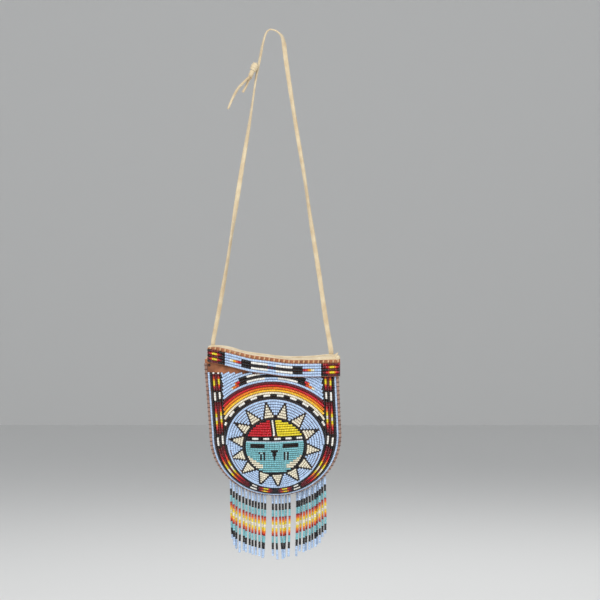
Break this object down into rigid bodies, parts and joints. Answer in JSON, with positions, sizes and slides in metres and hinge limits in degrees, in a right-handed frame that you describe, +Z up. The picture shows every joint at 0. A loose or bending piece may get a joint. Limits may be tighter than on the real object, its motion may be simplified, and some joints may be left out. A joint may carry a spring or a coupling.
{
  "type": "beaded medicine bag",
  "caption": "Small leather medicine bag with a beaded sun face on its round front, a beaded flap, a bead fringe and a buckskin thong to hang it by.",
  "frame": {"origin": "the hang point, just under the top of the thong, where a peg would hold it", "axes": "+Z up, the beaded front faces -Y, +X to the right when the front is seen"},
  "size_m": [0.1233, 0.0188, 0.4736],
  "materials": {
    "buckskin": "soft smoked tan buckskin, matt",
    "brown_leather": "brown leather, matt",
    "binding_leather": "pinkish tan leather, matt",
    "light_blue_beads": "opaque light blue glass seed beads",
    "maroon_beads": "dark red glass seed beads",
    "black_beads": "opaque black glass seed beads",
    "gold_beads": "opaque gold-yellow glass seed beads",
    "cream_beads": "opaque cream glass seed beads",
    "red_beads": "opaque red glass seed beads",
    "yellow_beads": "opaque yellow glass seed beads",
    "turquoise_beads": "opaque turquoise glass seed beads",
    "orange_beads": "opaque orange glass seed beads"
  },
  "bodies": {
    "pouch": {"back_panel": "buckskin", "front_panel": "brown_leather", "edge_binding": "binding_leather", "top_hem": "buckskin", "thong_in_hem": "buckskin", "strap_thong": "buckskin", "strap_knot": "buckskin", "long_tail": "buckskin", "short_tail": "buckskin", "edge_lane": "light_blue_beads", "border_lanes": "maroon_beads", "checker_ring": "black_beads", "rainbow_lanes": "gold_beads", "upper_field": "light_blue_beads", "upper_feathers": "black_beads", "sun_rays": "cream_beads", "sun_ground": "light_blue_beads", "brow_red": "red_beads", "brow_yellow": "yellow_beads", "brow_bar": "black_beads", "left_eye": "black_beads", "right_eye": "black_beads", "mouth": "black_beads", "face_ground": "turquoise_beads", "fringe_strand_01": "light_blue_beads", "fringe_strand_02": "light_blue_beads", "fringe_strand_03": "light_blue_beads", "fringe_strand_04": "light_blue_beads", "fringe_strand_05": "light_blue_beads", "fringe_strand_06": "light_blue_beads", "fringe_strand_07": "light_blue_beads", "fringe_strand_08": "light_blue_beads", "fringe_strand_09": "light_blue_beads", "fringe_strand_10": "light_blue_beads", "fringe_strand_11": "light_blue_beads", "fringe_strand_12": "light_blue_beads", "fringe_strand_13": "light_blue_beads", "fringe_strand_14": "light_blue_beads", "fringe_strand_15": "light_blue_beads", "fringe_strand_16": "light_blue_beads", "fringe_strand_17": "light_blue_beads", "fringe_strand_18": "light_blue_beads", "fringe_strand_19": "light_blue_beads", "fringe_strand_20": "light_blue_beads", "fringe_strand_21": "light_blue_beads", "fringe_strand_22": "light_blue_beads", "fringe_strand_23": "light_blue_beads", "fringe_strand_24": "light_blue_beads", "fringe_strand_25": "light_blue_beads", "fringe_strand_26": "light_blue_beads", "fringe_strand_27": "light_blue_beads", "fringe_strand_28": "light_blue_beads", "fringe_strand_29": "light_blue_beads", "fringe_strand_30": "light_blue_beads"},
    "flap": {"flap_fold": "buckskin", "flap_leather": "brown_leather", "left_end_block": "orange_beads", "right_end_block": "orange_beads", "flap_feathers": "black_beads", "flap_lanes": "light_blue_beads"}
  },
  "joints": [
    {"name": "flap_hinge", "type": "hinge", "parent": "pouch", "child": "flap", "pos_m": [0.0002, -0.0009, -0.2889], "axis": [-0.9976, 0, 0.0697], "range_deg": [0, 90], "deforming": ["flap_fold"]}
  ]
}
